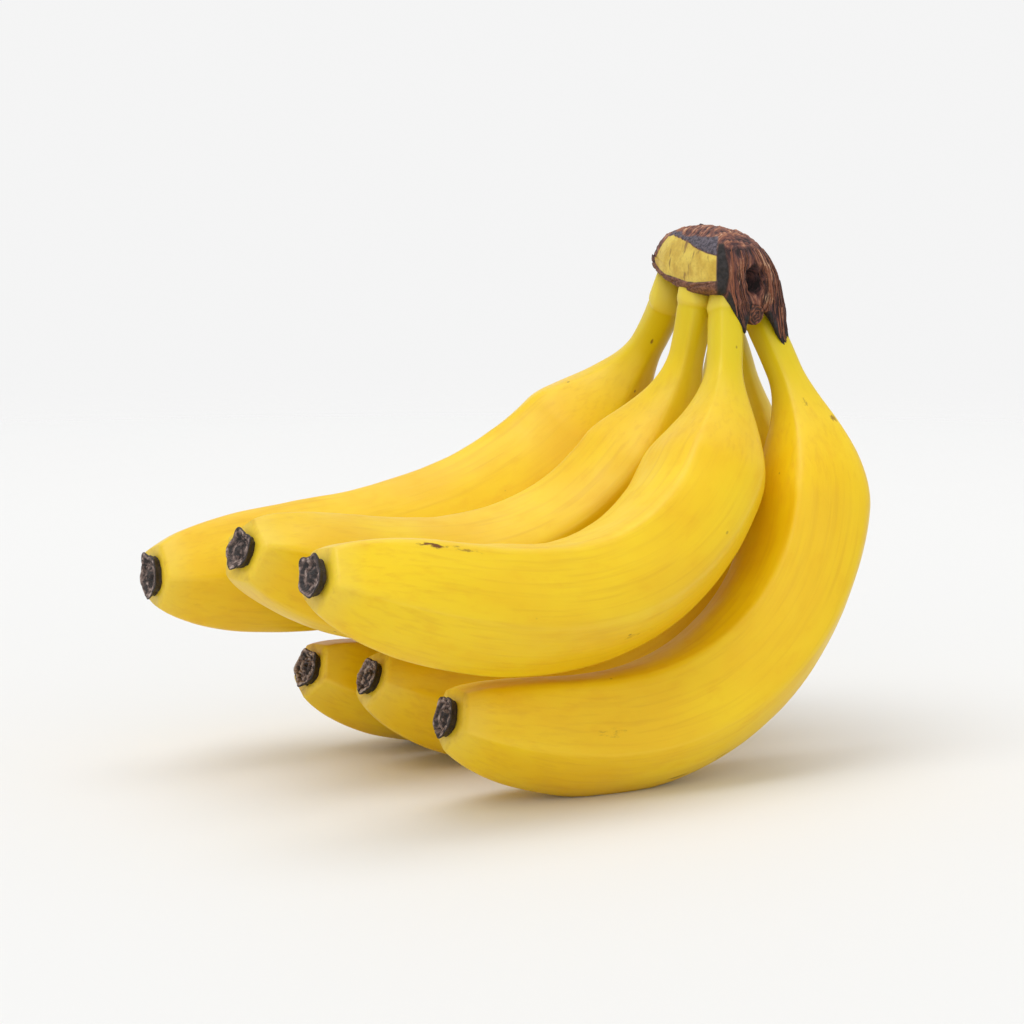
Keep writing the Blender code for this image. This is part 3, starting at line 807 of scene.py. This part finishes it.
# Dry stalk fibre: matt, straw to red-brown, each thread its own tone.
threads_skin = bpy.data.materials.new("torn_stalk_fibre")
threads_skin.use_nodes = True
tree = threads_skin.node_tree
skin = tree.nodes["Principled BSDF"]
tone = add_node(tree, "Attribute", attribute_name="tone").outputs["Fac"]
place = add_node(tree, "TexCoord").outputs["Object"]
grain = grown_pattern(tree, place, 0.8)
raised = add_node(tree, "Math", [grain, 0.5, tone], operation="MULTIPLY_ADD")
share = add_node(tree, "MapRange", [raised, 0.3, 0.8], **SMOOTH)
colour = add_node(tree, "Mix", [share, linear("#3A1F18"), linear("#8A5238")], **RGBA)
share = add_node(tree, "MapRange", [raised, 0.85, 1.3], **SMOOTH)
colour = add_node(tree, "Mix", [share, colour, linear("#D0A078")], **RGBA)
relief = add_node(tree, "Bump", {"Height": grain, "Strength": 0.4, "Distance": 0.1 * MM})
feed(tree, skin, {"Base Color": colour, "Normal": relief, "Roughness": 0.7, "IOR": 1.5})


def front_point(x, z):
    """The point of the torn front at x, z, or None beside it."""
    hit = crown_surface.ray_cast(Vector((x, FRONT_FREE, z)) * MM, Vector((0, 1, 0)), 32 * MM)[0]
    return hit / MM if hit else None


def fibre_path(x, z, long):
    """Points down the front along one fibre, so that the stream's name stays the same."""
    points = []
    name = stream(x, z)
    for step in range(FIBRE_STEPS + 1):
        point = front_point(x, z)
        if point is None:
            break
        points.append(point + Vector((0, -0.08, 0)))
        z -= long / FIBRE_STEPS
        slope = (stream(x + 0.05, z) - stream(x - 0.05, z)) / 0.1
        x += min(max((name - stream(x, z)) / max(slope, 0.3), -0.8), 0.8)
    return points


def fibre_ring(point, heading, radius, tone):
    turn = ring_matrix(point, heading, Vector((0, 1, 0)))

    def place(vert, angle):
        vert.co = turn @ Vector((radius * math.cos(angle), radius * math.sin(angle), 0)) * MM
        vert[vert_layers["tone"]] = tone
    return place


chance = random.Random(5)
bm = bmesh.new()
vert_layers = {"tone": bm.verts.layers.float.new("tone")}
for _ in range(FIBRE_COUNT):
    x, z = chance.uniform(*FIBRE_START[0]), chance.uniform(*FIBRE_START[1])
    long, thick = chance.uniform(*FIBRE_LONG), chance.uniform(*FIBRE_RADIUS)
    tone, lift = chance.uniform(*FIBRE_TONE), chance.uniform(*FIBRE_LIFT) ** 2
    if math.hypot(*from_hollow(x, z)) < HOLLOW_CLEAR:
        continue
    points = fibre_path(x, z, long)
    if len(points) <= FIBRE_STEPS // 2:
        continue
    rings = []
    for number, point in enumerate(points):
        share = number / (len(points) - 1)
        heading = points[min(number + 1, len(points) - 1)] - points[max(number - 1, 0)]
        raised = point + Vector((0, -lift * share ** 3, 0))
        radius = thick * (0.25 + 0.75 * math.sin(math.pi * min(max(share, 0.08), 0.94)) ** 0.5)
        rings.append(fibre_ring(raised, heading.normalized(), radius, tone))
    grow(bm, FIBRE_SIDES, rings)
bmesh.ops.translate(bm, vec=crown_shift, verts=bm.verts)
finished(bm, "crown_fibres", threads_skin)

# --------------------------------------------------------------------------------------
# The knob between the flaps: the scar of a lost finger, a small woody button of rings
# one inside the other, grown into the torn front.
# --------------------------------------------------------------------------------------
KNOB = (71.6, 126.9)                # middle: x, z
KNOB_RADIUS = 3.1
KNOB_SUNK = 1.6                     # how deep its foot is, and how tall it is from there
KNOB_TALL = 2.6
KNOB_FRONT = -19.5                  # y that its middle isn't behind, where it sits on
KNOB_HANGING = -20.0                # the torn front, and its y where it hangs free
KNOB_FACING = Vector((0.1, -1, -0.25)).normalized()
KNOB_SIDES = 48
KNOB_STEPS = 26


def knob_ring(matrix, share):
    """Rings from the foot of the knob, over its edge, to its middle."""
    reach = KNOB_RADIUS * min(1.0, 1.35 * (1 - share))
    rise = KNOB_TALL * ease(share / 0.35) - KNOB_SUNK

    def place(vert, angle):
        c, s = math.cos(angle), math.sin(angle)
        uneven = noise.noise(Vector((c * reach * 0.9, s * reach * 0.9, 2.0)))
        groove = math.sin(reach * 5.5 + 5.0 * uneven)
        radius = reach * (1 + 0.12 * uneven)
        up = rise + 0.22 * groove * ease(share / 0.3) + 0.15 * uneven
        vert.co = matrix @ Vector((radius * c, radius * s * 1.05, up)) * MM
        vert[vert_layers["tone"]] = 0.15 + 0.28 * groove + 0.2 * uneven
    return place


under = front_point(*KNOB)
middle_y = min(under.y, KNOB_FRONT) if under else KNOB_HANGING
matrix = ring_matrix(Vector((KNOB[0], middle_y, KNOB[1])), KNOB_FACING, Vector((1, 0, 0)))
bm = bmesh.new()
vert_layers = {"tone": bm.verts.layers.float.new("tone")}
grow(bm, KNOB_SIDES, [knob_ring(matrix, step / KNOB_STEPS) for step in range(KNOB_STEPS)])
bmesh.ops.translate(bm, vec=crown_shift, verts=bm.verts)
finished(bm, "crown_knob", threads_skin)

# --------------------------------------------------------------------------------------
# The table and the light: a plain pale table that fades out into a bright even room. A
# broad light high on the left throws a soft shadow to the right, another stands overhead,
# and a low one fills the front.
# --------------------------------------------------------------------------------------
TABLE_RADIUS = 1.6        # metres
TABLE_FADE = (0.45, 1.5)  # from where to where it fades out

# Matt white laminate: an even pale surface that shows soft shadows and no reflections.
table_top = bpy.data.materials.new("matt_white_table")
table_top.use_nodes = True
tree = table_top.node_tree
skin = tree.nodes["Principled BSDF"]
feed(tree, skin, {"Base Color": linear("#EAEAE9"), "Roughness": 0.7})
place = add_node(tree, "TexCoord").outputs["Object"]
away = add_node(tree, "VectorMath", [place], operation="LENGTH").outputs["Value"]
share = add_node(tree, "MapRange", [away, *TABLE_FADE], **SMOOTH)
clear = add_node(tree, "BsdfTransparent")
fade = add_node(tree, "MixShader", [share, skin, clear])
feed(tree, tree.nodes["Material Output"], {"Surface": fade})
bm = bmesh.new()
bmesh.ops.create_circle(bm, cap_ends=True, segments=64, radius=TABLE_RADIUS)
mesh = bpy.data.meshes.new("table")
bm.to_mesh(mesh)
bm.free()
mesh.materials.append(table_top)
table = bpy.data.objects.new("table", mesh)
bpy.context.scene.collection.objects.link(table)

# The room is seen, and mirrored in the wax of the peel, almost as white as the table. It
# lights the bunch less than that, so that the shadows keep some depth.
ROOM_SEEN = 0.91
ROOM_LIGHT = 0.60
room = bpy.data.worlds.new("bright_room")
room.use_nodes = True
tree = room.node_tree
path = add_node(tree, "LightPath").outputs
seen = add_node(tree, "Math", [path["Is Camera Ray"], path["Is Glossy Ray"]], operation="MAXIMUM")
strength = add_node(tree, "MapRange", [seen, 0.0, 1.0, ROOM_LIGHT, ROOM_SEEN])
feed(tree, tree.nodes["Background"], {"Color": (1.0, 1.0, 1.0, 1.0), "Strength": strength})
bpy.context.scene.world = room
bpy.context.scene.view_settings.view_transform = "Standard"

# Lights and camera look at a point a little to the front left of the middle, in mm
AIM_ASIDE, AIM_FORWARD, AIM_HEIGHT = 6.7, 9.3, 73.6
cad_middle = (cad_low + cad_high) / 2
TARGET = Vector((cad_middle.x - AIM_ASIDE * MM, cad_middle.y - AIM_FORWARD * MM, AIM_HEIGHT * MM))
CAMERA_LENS = 107.6                   # mm, on a sensor 36 mm wide
CAMERA_VIEW = (-38, 6.86, 0.85)       # azimuth, elevation and distance in metres


def aim(thing, azimuth, elevation, distance):
    """Put a light or the camera round the bunch, looking at its middle."""
    a, e = math.radians(azimuth), math.radians(elevation)
    back = Vector((math.sin(a) * math.cos(e), -math.cos(a) * math.cos(e), math.sin(e)))
    thing.location = TARGET + distance * back
    thing.rotation_euler = back.to_track_quat("Z", "Y").to_euler()
    bpy.context.scene.collection.objects.link(thing)


# (name, azimuth, elevation, strength, angle of its disc in the sky)
for name, azimuth, elevation, strength, angle in [
        ("broad_light", -88, 62, 0.95, 38),
        ("overhead_light", 130, 76, 0.66, 45),
        ("front_fill", -30, 6, 0.85, 90)]:
    light = bpy.data.lights.new(name, "SUN")
    light.energy = strength
    light.angle = math.radians(angle)
    aim(bpy.data.objects.new(name, light), azimuth, elevation, 1.0)

lens = bpy.data.cameras.new("camera")
lens.lens = CAMERA_LENS
lens.sensor_width = 36
camera = bpy.data.objects.new("camera", lens)
aim(camera, *CAMERA_VIEW)
bpy.context.scene.camera = camera
